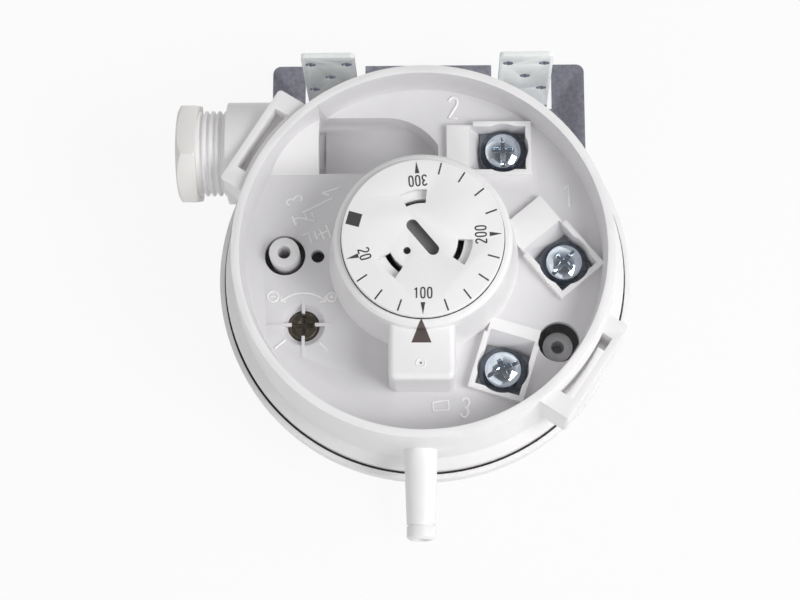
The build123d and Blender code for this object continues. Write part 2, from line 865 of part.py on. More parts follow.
with BuildPart() as spring_seat:
    with BuildSketch(Plane.XZ):
        Polygon(
            (0, seat_bottom - seat_pilot_length),
            (seat_pilot_radius - 0.5, seat_bottom - seat_pilot_length),
            (seat_pilot_radius, seat_bottom),
            (seat_radius, seat_bottom),
            (seat_radius, seat_bottom + seat_flange),
            (hub_bore_radius - thread_clearance, seat_bottom + seat_flange),
            (hub_bore_radius - thread_clearance, seat_stud_top - 0.5),
            (hub_bore_radius - thread_clearance - 0.5, seat_stud_top),
            (0, seat_stud_top),
            align=None,
        )
    revolve(axis=Axis.Z)
    with BuildSketch(Plane.XY.offset(seat_bottom)):
        Rectangle(2 * seat_key_reach, seat_key_width)
    extrude(amount=seat_flange)

save(spring_seat, "spring_seat")

# Dial: disc with three windows, slotted middle, hub, guide ribs and snap hooks
window_sector = ring_sector(window_inner_radius, window_outer_radius, window_span)
hook_sector = ring_sector(hub_radius - 0.3, hook_reach, window_span - 4)
guide_sector = ring_sector(hub_radius - 0.3, hub_hole_radius - thread_clearance, window_span)

with BuildPart() as dial_knob:
    with BuildSketch(Plane.XZ):
        Polygon(
            (0, dial_bottom - 1.2),
            (hub_bore_radius - 1, dial_bottom - 1.2),
            (hub_bore_radius, dial_bottom),
            (hub_bore_radius, hub_bottom),
            (hub_radius, hub_bottom),
            (hub_radius, dial_bottom),
            (dial_radius, dial_bottom),
            (dial_radius, dial_top - 0.2),
            (dial_radius - 0.2, dial_top),
            (0, dial_top),
            align=None,
        )
    revolve(axis=Axis.Z)
    for angle in window_angles:
        with BuildSketch(turned_plane(angle, dial_bottom)):
            add(window_sector)
        extrude(amount=dial_thickness, mode=Mode.SUBTRACT)
        with BuildSketch(turned_plane(angle + 60, hook_top - hook_thickness)):
            add(hook_sector)
        extrude(amount=hook_thickness)
        with BuildSketch(turned_plane(angle + 60, hook_top)):
            add(guide_sector)
        extrude(amount=dial_bottom - hook_top)
    with BuildSketch(Plane.XY.offset(dial_top)):
        SlotOverall(driver_slot_length, driver_slot_width, rotation=driver_slot_angle)
    extrude(amount=-driver_slot_depth, mode=Mode.SUBTRACT)
    with BuildSketch(Plane.XY.offset(dial_top)):
        with Locations(peg_hole_place):
            Circle(peg_hole_radius)
    extrude(amount=-driver_slot_depth, mode=Mode.SUBTRACT)

save(dial_knob, "dial_knob")

# Mechanism plate with a skirt that presses on the diaphragm, and two pillars
with BuildPart() as mechanism_plate:
    with BuildSketch(Plane.XY.offset(seam_height)):
        Circle(mechanism_radius - plate_clearance)
        Circle(mechanism_radius - plate_clearance - skirt_width, mode=Mode.SUBTRACT)
    extrude(amount=plate_bottom - seam_height)
    with BuildSketch(Plane.XY.offset(plate_bottom)):
        Circle(mechanism_radius - plate_clearance)
        Circle(spring_opening_radius, mode=Mode.SUBTRACT)
    extrude(amount=plate_thickness)
    for place, top in ((left_pillar, left_pillar_top), (right_pillar, right_pillar_top)):
        with BuildSketch(Plane.XY.offset(plate_top)):
            with Locations(place):
                Circle(pillar_radius)
        extrude(amount=top - plate_top)
        with BuildSketch(Plane.XY.offset(plate_top)):
            with Locations(place):
                Circle(pillar_bore_radius)
        extrude(amount=top - plate_top, mode=Mode.SUBTRACT)
    with BuildSketch(Plane.XY.offset(plate_bottom)):
        with Locations((lever_x, plunger_y)):
            Circle(plunger_radius + 4 * hole_clearance)
    extrude(amount=plate_thickness, mode=Mode.SUBTRACT)

save(mechanism_plate, "mechanism_plate")


# Terminals: each plate has a leg that goes down through a slot of its chamber
def terminal_blank(number, leg_bottom):
    """Terminal plate with its screw hole and its leg."""
    with BuildPart() as blank:
        with BuildSketch(terminal_plane(number, slab_top)):
            with Locations(((chamber_end - chamber_wall - ramp_foot) / 2, 0)):
                Rectangle(
                    chamber_end - chamber_wall + ramp_foot - hole_clearance,
                    2 * chamber_inner - hole_clearance,
                )
            Circle(screw_shank_radius + thread_clearance, mode=Mode.SUBTRACT)
        extrude(amount=terminal_plate_thickness)
        along, across, turn = tongue_legs[number]
        with BuildSketch(terminal_plane(number, leg_bottom)):
            with Locations((along, across)):
                Rectangle(tongue_thickness, tongue_width, rotation=turn)
        extrude(amount=slab_top - leg_bottom)
    return blank.part


strip_bottom = lower_contact_top - contact_height - tongue_thickness
blank = terminal_blank(1, strip_bottom)
along, across, turn = tongue_legs[1]
contact_along, contact_across = local_place(1, lever_x, contact_y)
strip_start = along + tongue_thickness / 2
strip_end = contact_along - tongue_width / 2
with BuildPart() as terminal_plate_1:
    add(blank)
    with BuildSketch(terminal_plane(1, strip_bottom)):
        with Locations(((strip_start + strip_end) / 2, across)):
            Rectangle(strip_start - strip_end, tongue_width)
        with Locations((contact_along, contact_across)):
            Circle(contact_radius + 0.3)
            Circle(contact_shank_radius, mode=Mode.SUBTRACT)
    extrude(amount=tongue_thickness)

save(terminal_plate_1, "terminal_plate_1")

strip_bottom = upper_contact_bottom + contact_height
blank = terminal_blank(2, strip_bottom)
leg_y = terminal_places[2][1] + tongue_legs[2][1] + tongue_thickness / 2
strip_far = contact_y - tongue_width / 2
with BuildPart() as terminal_plate_2:
    add(blank)
    with BuildSketch(Plane.XY.offset(strip_bottom)):
        with Locations((lever_x, (leg_y + strip_far) / 2)):
            Rectangle(tongue_width, leg_y - strip_far)
        with Locations((lever_x, contact_y)):
            Circle(contact_shank_radius, mode=Mode.SUBTRACT)
    extrude(amount=tongue_thickness)

save(terminal_plate_2, "terminal_plate_2")

blank = terminal_blank(3, yoke_height)
yoke_width = lever_width + 2 * (ear_gap + ear_thickness)
yoke_far = terminal_places[3][1] - tongue_legs[3][0] - tongue_width / 2
yoke_near = lever_pin_y + lever_eye_radius
with BuildPart() as terminal_plate_3:
    add(blank)
    with BuildSketch(Plane.XY.offset(yoke_height)):
        with Locations((lever_x, (yoke_far + yoke_near) / 2)):
            Rectangle(yoke_width, yoke_near - yoke_far)
    extrude(amount=tongue_thickness)
    with BuildSketch(Plane.XY.offset(yoke_height)):
        with Locations((lever_x, lever_pin_y)):
            with GridLocations(yoke_width - ear_thickness, 1, 2, 1):
                Rectangle(ear_thickness, 2 * lever_eye_radius)
    extrude(amount=-ear_height)
    with BuildSketch(lever_pin_plane(-yoke_width / 2)):
        Circle(pin_radius)
    extrude(amount=yoke_width, mode=Mode.SUBTRACT)

save(terminal_plate_3, "terminal_plate_3")

for number, (x, y, turn) in terminal_places.items():
    axis = Axis((x, y, 0), (0, 0, 1))
    with BuildPart() as terminal_washer:
        with BuildSketch(terminal_section(number)):
            Polygon(
                (screw_shank_radius + 0.1, washer_bottom),
                (washer_radius - 0.25, washer_bottom),
                (washer_radius, washer_bottom + 0.25),
                (washer_radius, washer_bottom + washer_thickness - 0.2),
                (washer_radius - 0.35, washer_bottom + washer_thickness),
                (screw_shank_radius + 0.1, washer_bottom + washer_thickness),
                align=None,
            )
        revolve(axis=axis)
    save(terminal_washer, f"terminal_washer_{number}")

    head_top = head_bottom + screw_head_height
    dome_radius = (screw_head_radius**2 + screw_head_dome**2) / (2 * screw_head_dome)
    with BuildPart() as terminal_screw:
        with BuildSketch(terminal_section(number)):
            with BuildLine():
                Polyline(
                    (0, head_top),
                    (0, screw_end),
                    (screw_shank_radius - 0.4, screw_end),
                    (screw_shank_radius, screw_end + 0.4),
                    (screw_shank_radius, head_bottom),
                    (screw_head_radius, head_bottom),
                    (screw_head_radius, head_top - screw_head_dome),
                )
                RadiusArc((screw_head_radius, head_top - screw_head_dome), (0, head_top), -dome_radius)
            make_face()
        revolve(axis=axis)
        recess = Plane(
            origin=(x, y, head_top),
            x_dir=(cos(radians(recess_angles[number])), sin(radians(recess_angles[number])), 0),
            z_dir=(0, 0, 1),
        )
        with BuildSketch(recess):
            Rectangle(cross_length, cross_width)
            Rectangle(cross_width, cross_length)
        extrude(amount=-cross_depth, mode=Mode.SUBTRACT)
        with BuildSketch(recess):
            Rectangle(2 * screw_head_radius + 1, slot_width)
        extrude(amount=-slot_depth, mode=Mode.SUBTRACT)
    save(terminal_screw, f"terminal_screw_{number}")

# Contact lever on its pin, and the three contact rivets
with BuildPart() as contact_lever:
    with BuildSketch(Plane.XY.offset(lever_z)):
        with Locations((lever_x, (lever_pin_y + lever_end) / 2)):
            Rectangle(lever_width, lever_end - lever_pin_y)
        with Locations((lever_x, contact_y)):
            Circle(contact_shank_radius, mode=Mode.SUBTRACT)
    extrude(amount=lever_thickness)
    with BuildSketch(lever_pin_plane(-lever_width / 2)):
        Circle(lever_eye_radius)
    extrude(amount=lever_width)
    with BuildSketch(lever_pin_plane(-lever_width / 2)):
        Circle(pin_radius + thread_clearance)
    extrude(amount=lever_width, mode=Mode.SUBTRACT)

save(contact_lever, "contact_lever")

with BuildPart() as lever_pin:
    with BuildSketch(lever_pin_plane(-yoke_width / 2)):
        Circle(pin_radius)
    extrude(amount=yoke_width)

save(lever_pin, "lever_pin")


def contact_rivet(shank_bottom, shank_top, head_below, head_above):
    """Contact rivet with a head on one or both sides of its strip."""
    with BuildPart() as rivet:
        with BuildSketch(Plane.XY.offset(shank_bottom)):
            with Locations((lever_x, contact_y)):
                Circle(contact_shank_radius)
        extrude(amount=shank_top - shank_bottom)
        if head_below:
            with BuildSketch(Plane.XY.offset(shank_bottom)):
                with Locations((lever_x, contact_y)):
                    Circle(contact_radius)
            extrude(amount=-contact_height)
        if head_above:
            with BuildSketch(Plane.XY.offset(shank_top)):
                with Locations((lever_x, contact_y)):
                    Circle(contact_radius)
            extrude(amount=contact_height)
    return rivet


moving_contact = contact_rivet(lever_z, lever_top, True, True)
save(moving_contact, "moving_contact")
strip_top = lower_contact_top - contact_height
fixed_contact_1 = contact_rivet(strip_top - tongue_thickness, strip_top, False, True)
save(fixed_contact_1, "fixed_contact_1")
strip_bottom = upper_contact_bottom + contact_height
fixed_contact_2 = contact_rivet(strip_bottom, strip_bottom + tongue_thickness, True, False)
save(fixed_contact_2, "fixed_contact_2")

# Differential screw with its retaining collar, and the slider that it moves
with BuildPart() as differential_screw:
    with BuildSketch(Plane.XY.offset(differential_shank_end)):
        with Locations(differential_place):
            Circle(differential_shank_radius)
    extrude(amount=differential_head_top - 1 - differential_shank_end)
    with BuildSketch(Plane.XY.offset(differential_head_top - differential_head_height)):
        with Locations(differential_place):
            Circle(differential_head_radius)
    extrude(amount=differential_head_height)
    chamfer(differential_screw.edges().group_by(Axis.Z)[-1], 0.5)
    with BuildSketch(Plane.XY.offset(collar_bottom)):
        with Locations(differential_place):
            Circle(collar_radius)
    extrude(amount=collar_thickness)
    with BuildSketch(Plane.XY.offset(differential_head_top)):
        with Locations(differential_place):
            Rectangle(cross_length, cross_width)
            Rectangle(cross_width, cross_length)
    extrude(amount=-differential_head_height / 2, mode=Mode.SUBTRACT)

save(differential_screw, "differential_screw")

with BuildPart() as differential_slider:
    with BuildSketch(Plane.XY.offset(slider_bottom)):
        with Locations(differential_place):
            Rectangle(slider_size, slider_size)
            Circle(differential_shank_radius + thread_clearance, mode=Mode.SUBTRACT)
    extrude(amount=slider_thickness)

save(differential_slider, "differential_slider")

differential_spring = coil_spring(
    differential_spring_radius,
    differential_spring_wire,
    differential_spring_turns,
    plate_top,
    slider_bottom,
    differential_place,
)
save(differential_spring, "differential_spring")

# Gland nut with its thrust washer and seal
with BuildPart() as gland_nut:
    with BuildSketch(gland_plane(nut_inner)):
        RegularPolygon(nut_across_flats / 2, 6, major_radius=False, rotation=90 - nut_turn)
    extrude(amount=nut_inner - nut_outer)
    with BuildSketch(gland_section):
        Polygon(
            (nut_inner, 0),
            (nut_inner, nut_across_flats / 2 + 1.3),
            (nut_inner - 0.8, nut_across_flats / 2 + 2),
            (nut_outer + 1.6, nut_across_flats / 2 + 2),
            (nut_outer, nut_across_flats / 2 - 0.5),
            (nut_outer, 0),
            align=None,
        )
    revolve(axis=gland_axis, mode=Mode.INTERSECT)
    with BuildSketch(gland_plane(nut_inner)):
        Circle(nut_bore_radius)
    extrude(amount=nut_inner - nut_floor, mode=Mode.SUBTRACT)
    with BuildSketch(gland_plane(nut_floor)):
        Circle(nut_hole_radius)
    extrude(amount=nut_wall, mode=Mode.SUBTRACT)

save(gland_nut, "gland_nut")

with BuildPart() as gland_washer:
    with BuildSketch(gland_plane(nut_floor + face_clearance + gland_washer_thickness)):
        Circle(nut_bore_radius - hole_clearance)
        Circle(nut_hole_radius, mode=Mode.SUBTRACT)
    extrude(amount=gland_washer_thickness)

save(gland_washer, "gland_washer")

with BuildPart() as gland_seal:
    with BuildSketch(gland_plane(spigot_end)):
        Circle(nut_bore_radius - 2 * hole_clearance)
        Circle(seal_hole_radius, mode=Mode.SUBTRACT)
    extrude(amount=seal_flange - face_clearance)
    with BuildSketch(gland_plane(spigot_end)):
        Circle(cable_bore_radius - fit_clearance)
        Circle(seal_hole_radius, mode=Mode.SUBTRACT)
    extrude(amount=-seal_length)

save(gland_seal, "gland_seal")

# Screws that close the housing, and screws that hold the bracket
with BuildPart() as housing_screws:
    for angle in housing_screw_turns:
        with BuildSketch(turned_plane(angle, rear_flange_back - housing_screw_head_height)):
            with Locations((housing_screw_circle, 0)):
                Circle(housing_screw_head)
                Rectangle(2.6, 0.8, mode=Mode.SUBTRACT)
                Rectangle(0.8, 2.6, mode=Mode.SUBTRACT)
        extrude(amount=housing_screw_head_height)
        with BuildSketch(turned_plane(angle, rear_flange_back - housing_screw_head_height / 2)):
            with Locations((housing_screw_circle, 0)):
                Circle(housing_screw_radius)
        extrude(amount=housing_screw_length + housing_screw_head_height / 2)

save(housing_screws, "housing_screws")

with BuildPart() as bracket_screws:
    for angle in bracket_screw_turns:
        with BuildSketch(upright_plane(angle)):
            Polygon(
                (bracket_screw_circle, fit_clearance),
                (bracket_screw_circle + bracket_screw_head - 0.1, fit_clearance),
                (bracket_screw_circle + bracket_screw_radius, bracket_thickness),
                (bracket_screw_circle + bracket_screw_radius, bracket_thickness + bracket_screw_length),
                (bracket_screw_circle, bracket_thickness + bracket_screw_length),
                align=None,
            )
        centre = turned_plane(angle, 0).from_local_coords(Vector(bracket_screw_circle, 0, 0))
        revolve(axis=Axis(centre, (0, 0, 1)))

save(bracket_screws, "bracket_screws")

# Mounting bracket: sheet with two punched tabs folded forward
with BuildPart() as mounting_bracket:
    bend_start = tab_root - bend_radius
    with BuildSketch():
        with Locations((bracket_shift, (bracket_top + bracket_bottom) / 2)):
            RectangleRounded(bracket_width, bracket_top - bracket_bottom, bracket_corner)
        for centre in tab_centres:
            with Locations((centre, (bend_start + bracket_top + 1) / 2)):
                Rectangle(tab_width + 2 * tab_relief, bracket_top + 1 - bend_start, mode=Mode.SUBTRACT)
    extrude(amount=bracket_thickness)
    for centre in tab_centres:
        with BuildSketch(Plane(origin=(centre, 0, 0), x_dir=(0, 1, 0), z_dir=(1, 0, 0))):
            outer_bend = bend_radius + bracket_thickness
            with BuildLine():
                Line((bend_start, 0), (bend_start, bracket_thickness))
                RadiusArc((bend_start, bracket_thickness), (tab_root, outer_bend), -bend_radius)
                Polyline(
                    (tab_root, outer_bend),
                    (tab_root, tab_height),
                    (tab_root + bracket_thickness, tab_height),
                    (tab_root + bracket_thickness, outer_bend),
                )
                RadiusArc((tab_root + bracket_thickness, outer_bend), (bend_start, 0), outer_bend)
            make_face()
        extrude(amount=tab_width / 2, both=True)
        tab_face = Plane(origin=(centre, tab_root, tab_hole_centre), x_dir=(-1, 0, 0), z_dir=(0, 1, 0))
        with BuildSketch(tab_face):
            Circle(tab_hole_radius)
            with GridLocations(tab_hole_columns, tab_hole_rows, 2, 2):
                Circle(tab_hole_radius)
        extrude(amount=bracket_thickness, mode=Mode.SUBTRACT)
    tips = mounting_bracket.faces().filter_by(Axis.Z).sort_by(Axis.Z)[-2:]
    fillet(tips.edges().filter_by(Axis.Y), tab_corner)
    for angle in bracket_screw_turns:
        with BuildSketch(upright_plane(angle)):
            Polygon(
                (bracket_screw_circle, 0),
                (bracket_screw_circle + bracket_screw_head, 0),
                (bracket_screw_circle + bracket_screw_radius + fit_clearance, bracket_thickness),
                (bracket_screw_circle, bracket_thickness),
                align=None,
            )
        centre = turned_plane(angle, 0).from_local_coords(Vector(bracket_screw_circle, 0, 0))
        revolve(axis=Axis(centre, (0, 0, 1)), mode=Mode.SUBTRACT)

save(mounting_bracket, "mounting_bracket")
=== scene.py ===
import bmesh
import bpy
import json
import math
from mathutils import Matrix, Vector


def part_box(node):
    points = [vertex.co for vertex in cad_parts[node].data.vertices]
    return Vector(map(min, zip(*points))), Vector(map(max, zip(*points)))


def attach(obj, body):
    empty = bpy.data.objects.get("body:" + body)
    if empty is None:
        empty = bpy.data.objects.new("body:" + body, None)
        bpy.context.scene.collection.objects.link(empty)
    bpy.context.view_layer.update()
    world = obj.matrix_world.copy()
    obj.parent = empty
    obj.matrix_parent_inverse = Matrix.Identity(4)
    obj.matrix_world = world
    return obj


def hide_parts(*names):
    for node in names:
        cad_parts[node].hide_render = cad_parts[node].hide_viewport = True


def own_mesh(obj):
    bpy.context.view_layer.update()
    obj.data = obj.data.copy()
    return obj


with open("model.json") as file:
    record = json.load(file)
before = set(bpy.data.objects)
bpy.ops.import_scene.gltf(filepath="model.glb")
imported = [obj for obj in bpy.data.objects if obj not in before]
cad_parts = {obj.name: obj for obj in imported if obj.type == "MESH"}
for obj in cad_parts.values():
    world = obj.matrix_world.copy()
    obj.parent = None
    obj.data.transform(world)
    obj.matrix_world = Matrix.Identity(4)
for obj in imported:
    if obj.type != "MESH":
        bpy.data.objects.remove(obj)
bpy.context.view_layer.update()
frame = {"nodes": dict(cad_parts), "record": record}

nodes = frame["nodes"]
scene = bpy.context.scene

# Lengths are in millimetres and angles in degrees, unless a comment says otherwise
MM = 0.001

# Camera of the photograph, fitted to the round rim
IMAGE_WIDTH = 800
FOCAL_PIXELS = 2056.5
SENSOR_WIDTH = 36.0
CAMERA_PLACE = Vector((4.74, -119.88, 482.9)) * MM
CAMERA_TILT = math.radians(13.87)
CAMERA_ROLL = math.radians(1.29)

# Levels of the housing
FLOOR_HEIGHT = 36.6
RIM_HEIGHT = 46.0
BLOCK_TOP = 50.2
TOWER_TOP = 52.6

# Dial scale
DIAL_TOP = 54.2
DIAL_RADIUS = 17.7
SCALE_FIRST = 20
SCALE_LAST = 300
SCALE_STEP = 20
SCALE_START = -163.8
SCALE_TURN = 18.46
TICK_INNER = 14.6
TICK_OUTER = 17.25
TICK_WIDTH = 0.35
ARROW_WIDTH = 1.0
ARROW_FOOT = TICK_INNER - 0.1
SQUARE_ANGLE = 164.4
SQUARE_INNER = 14.0
SQUARE_OUTER = 17.0
SQUARE_HALF = 1.5
NUMBER_HEIGHT = 2.3
NUMBER_STROKE = 0.33
DIGIT_WIDTH = 1.47
NUMBER_RADIUS = {20: 13.1, 100: 12.4, 200: 12.6, 300: 12.8}
PRINT_THICKNESS = 0.03
PRINT_SINK = 0.01
# Painted shadow of the gap round the dial: a dark ring on the tower's top
GAP_INNER = DIAL_RADIUS - 0.5
GAP_OUTER = DIAL_RADIUS + 0.2
GAP_STEPS = 96

# Pointer triangle: rows of (distance from the dial's centre, level, half width)
POINTER_SHIFT = -0.38
POINTER_ROWS = [
    (17.9, TOWER_TOP, 0.12),
    (18.7, TOWER_TOP, 0.48),
    (19.5, TOWER_TOP - 0.8, 0.86),
    (19.68, BLOCK_TOP, 1.08),
    (20.5, BLOCK_TOP, 1.4),
    (22.45, BLOCK_TOP, 2.17),
]

# Marks moulded into the housing
RIDGE_RADIUS = 0.3
FINE_RIDGE = 0.24
GATE_RIDGE = 0.16
GATE = (-0.51, -26.97)
GATE_RADIUS = 1.0
GATE_DOT = 0.22
LESS = (-33.77, -8.69)
LESS_RADIUS = 1.2
MORE = (-20.63, -8.88)
MORE_RADIUS = 1.0
SCREW = (-26.98, -15.48)
ARC_RADIUS = 7.6
ARC_START = 48
ARC_STEP = 7
ARC_POINTS = 13

# Faces that get painted shade or a painted highlight of their own
BOWL_RADIUS = 41.0
BOWL_WALL_DEPTH = 4.5
BOWL_WALL_TOP = RIM_HEIGHT - 0.5
BOWL_FLOOR_TOP = FLOOR_HEIGHT + 0.2
TOWER_FOOT = 20.8
TAB_START = 3.5
TAB_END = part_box("mounting_bracket")[1][2] / MM
TAB_TIP = 1
SLOT_REACH = 6.0
SLOT_START = 0.08
SLOT_DEPTH = 2.1

# Rounding of sharp edges
EDGE_ROUNDING = {
    "front_housing": 0.22,
    "rear_housing": 0.22,
    "mounting_bracket": 0.1,
    "gland_nut": 0.3,
    "terminal_screw_1": 0.03,
    "terminal_screw_2": 0.03,
    "terminal_screw_3": 0.03,
    "differential_screw": 0.03,
}
SMALL_ROUNDING = 0.08
MERGE_DISTANCE = 0.002
FLAT_ANGLE = 0.5
BEVEL_ANGLE = 32
SHARP_ANGLE = 38

# Springs: the joint that presses each one, its fixed end and the joint's travel, in metres
SPRINGS = {
    "range_spring": ("seat_slide", 0.0207, 0.001538),
    "differential_spring": ("slider_slide", 0.0239, 0.00026),
}

# Studio, in metres and watts
WHITE = (1, 1, 1, 1)
AMBIENT_STRENGTH = 0.47
FLOOR_HALF = 3.0
FLOOR_LEVEL = -0.0002
FLOOR_WHITENESS = 0.9
LAMP_TARGET = (0, 0, 0.03)

# Finishes: (colour, roughness, grain) of plastic and (colour, roughness, mottle, metallic) of metal
PLASTICS = {
    "housing_plastic": ((0.88, 0.87, 0.875),),
    "pillar_plastic": ((0.76, 0.75, 0.76),),
    # Bowl: painted shade, a greyer copy of the housing plastic
    "bowl_plastic": ((0.745, 0.735, 0.75),),
    # Moulded marks: a painted highlight, a lighter copy of the housing plastic
    "mark_plastic": ((0.95, 0.94, 0.945),),
    "dial_plastic": ((0.88, 0.88, 0.88), 0.5, 0.06),
    "gland_plastic": ((0.83, 0.82, 0.80), 0.45, 0.1),
    "printing_ink": ((0.06, 0.058, 0.058), 0.55, 0.05),
    "pointer_ink": ((0.10, 0.078, 0.072), 0.55, 0.05),
    "recess_shade": ((0.2, 0.195, 0.195), 0.6, 0.05),
    "gap_shade": ((0.035, 0.033, 0.033), 0.8, 0.05),
}
METALS = {
    "galvanised_sheet": ((0.42, 0.42, 0.49), 0.36, 0.2),
    # Bracket tabs: a painted highlight, a near white copy of the galvanised sheet
    "bright_zinc": ((0.93, 0.97, 0.96), 0.35, 0.03, 0.05),
    "zinc_steel": ((0.60, 0.62, 0.66),),
    "screw_zinc": ((0.78, 0.86, 0.94), 0.06, 0.06),
    "dark_zinc": ((0.16, 0.18, 0.21), 0.25, 0.2),
    "spring_steel": ((0.45, 0.45, 0.47),),
    "plated_brass": ((0.30, 0.31, 0.33),),
    "spring_brass": ((0.70, 0.52, 0.26),),
    "screw_brass": ((0.16, 0.14, 0.11), 0.4, 0.3),
    "contact_silver": ((0.80, 0.80, 0.78), 0.15),
}
RUBBERS = {
    "dark_rubber": ((0.02, 0.02, 0.022),),
    "seal_rubber": ((0.03, 0.03, 0.032),),
}


# Materials
def add_node(tree, kind, **values):
    """New shader node with these values in its sockets."""
    node = tree.nodes.new(kind)
    for socket, value in values.items():
        node.inputs[socket].default_value = value
    return node


def new_material(name, colour, roughness, metallic=0.0):
    """Principled material with its plain values set on the shader."""
    material = bpy.data.materials.new(name)
    material.use_nodes = True
    shader = material.node_tree.nodes["Principled BSDF"]
    shader.inputs["Base Color"].default_value = (*colour, 1)
    shader.inputs["Roughness"].default_value = roughness
    shader.inputs["Metallic"].default_value = metallic
    return material, shader


def noise(tree, scale, detail):
    """Noise over the object's own coordinates; scale is in features per metre."""
    place = tree.nodes.new("ShaderNodeTexCoord")
    texture = add_node(tree, "ShaderNodeTexNoise", Scale=scale, Detail=detail)
    tree.links.new(place.outputs["Object"], texture.inputs["Vector"])
    return texture.outputs["Fac"]


def ramp(tree, factor, stops):
    """Colour ramp through (position, colour) stops."""
    node = tree.nodes.new("ShaderNodeValToRGB")
    elements = node.color_ramp.elements
    while len(elements) < len(stops):
        elements.new(0.5)
    for element, (position, colour) in zip(elements, stops):
        element.position = position
        element.color = (*colour, 1)
    tree.links.new(factor, node.inputs["Fac"])
    return node.outputs["Color"]


def tone(material, shader, colour, factor, stops):
    """Base colour that wanders through (position, brightness) stops."""
    tree = material.node_tree
    colours = [
        (position, tuple(min(1.0, part * brightness) for part in colour))
        for position, brightness in stops
    ]
    tree.links.new(ramp(tree, factor, colours), shader.inputs["Base Color"])


def bump(material, shader, factor, strength, distance):
    """Bump from a factor; distance is in metres."""
    tree = material.node_tree
    node = add_node(tree, "ShaderNodeBump", Strength=strength, Distance=distance)
    tree.links.new(factor, node.inputs["Height"])
    tree.links.new(node.outputs["Normal"], shader.inputs["Normal"])


def moulded_plastic(name, colour, roughness=0.42, grain=0.12):
    """Satin moulded plastic with a fine grain and faint flow marks."""
    material, shader = new_material(name, colour, roughness)
    tree = material.node_tree
    tone(material, shader, colour, noise(tree, 60, 3), [(0.3, 0.965), (0.7, 1.02)])
    bump(material, shader, noise(tree, 2600, 2), grain, 0.00004)
    shader.inputs["Specular IOR Level"].default_value = 0.45
    return material


def plated_metal(name, colour, roughness=0.28, mottle=0.12, metallic=1.0):
    """Plated metal with a mottled tone and fine scratches."""
    material, shader = new_material(name, colour, roughness, metallic)
    tree = material.node_tree
    tone(material, shader, colour, noise(tree, 900, 4), [(0.3, 1 - mottle), (0.7, 1 + mottle)])
    bump(material, shader, noise(tree, 4000, 3), 0.15, 0.00003)
    return material


def rubber(name, colour):
    """Matt rubber with a dusty grain."""
    material, shader = new_material(name, colour, 0.75)
    tree = material.node_tree
    tone(material, shader, colour, noise(tree, 1500, 4), [(0.35, 0.8), (0.75, 1.4)])
    bump(material, shader, noise(tree, 3000, 2), 0.2, 0.00004)
    return material


materials = {}
for make, finishes in ((moulded_plastic, PLASTICS), (plated_metal, METALS), (rubber, RUBBERS)):
    for name, values in finishes.items():
        materials[name] = make(name, *values)


# Pieces
def linked(name, data):
    """New object of this data, in the scene."""
    thing = bpy.data.objects.new(name, data)
    scene.collection.objects.link(thing)
    return thing


def evaluated_mesh(thing):
    """Mesh of an object with its modifiers or its curve's bevel applied."""
    depsgraph = bpy.context.evaluated_depsgraph_get()
    return bpy.data.meshes.new_from_object(thing.evaluated_get(depsgraph))


def dress(piece, slot, body):
    """Give a piece its material slot and let it ride on a body."""
    piece.data.materials.clear()
    piece.data.materials.append(materials[slot])
    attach(piece, body)


def rounded_copy(node, width):
    """Copy of a CAD node whose sharp edges are rounded by this width."""
    mesh = nodes[node].data.copy()
    piece = linked(node + "_look", mesh)
    work = bmesh.new()
    work.from_mesh(mesh)
    bmesh.ops.remove_doubles(work, verts=work.verts, dist=MERGE_DISTANCE * MM)
    bmesh.ops.dissolve_limit(
        work, angle_limit=math.radians(FLAT_ANGLE), verts=work.verts, edges=work.edges
    )
    work.to_mesh(mesh)
    work.free()
    bevel = piece.modifiers.new("rounding", "BEVEL")
    bevel.width = width * MM
    bevel.segments = 2
    bevel.limit_method = "ANGLE"
    bevel.angle_limit = math.radians(BEVEL_ANGLE)
    result = evaluated_mesh(piece)
    piece.modifiers.clear()
    piece.data = result
    result.shade_smooth()
    result.set_sharp_from_angle(angle=math.radians(SHARP_ANGLE))
    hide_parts(node)
    return piece


def in_bowl(centre, normal):
    """True for the bowl's floor, its inner wall and the hollows in it; these get painted shade."""
    distance = math.hypot(centre.x, centre.y)
    if distance > BOWL_RADIUS or distance < TOWER_FOOT:
        return False
    if centre.z < BOWL_FLOOR_TOP:
        return True
    inward = -(centre.x * normal.x + centre.y * normal.y) / distance
    return distance > BOWL_RADIUS - BOWL_WALL_DEPTH and inward > 0.5 and centre.z < BOWL_WALL_TOP


def on_tab(centre, normal):
    """True for the broad faces and the end of the bracket's tabs, not inside their holes; these get
    a painted highlight.
    """
    return centre.z > TAB_START and (abs(normal.y) > 0.4 or centre.z > TAB_END - TAB_TIP)


def in_recess(centre, normal):
    """True inside the dial's driver slot and its small hole; these get painted shade."""
    return (
        math.hypot(centre.x, centre.y) < SLOT_REACH
        and SLOT_START < DIAL_TOP - centre.z < SLOT_DEPTH
    )


# A second material for the faces whose centre and normal fit a test: painted shade in the bowl and
# in the dial's driver slot, a painted highlight on the bracket's tabs
PAINTED_LIGHT_FACES = {
    "front_housing": ("bowl_plastic", in_bowl),
    "mounting_bracket": ("bright_zinc", on_tab),
    "dial_knob": ("recess_shade", in_recess),
}


def second_finish(piece, material, chosen):
    """Give the chosen faces of a piece a material of their own."""
    piece.data.materials.append(material)
    for face in piece.data.polygons:
        if chosen(face.center / MM, face.normal):
            face.material_index = len(piece.data.materials) - 1


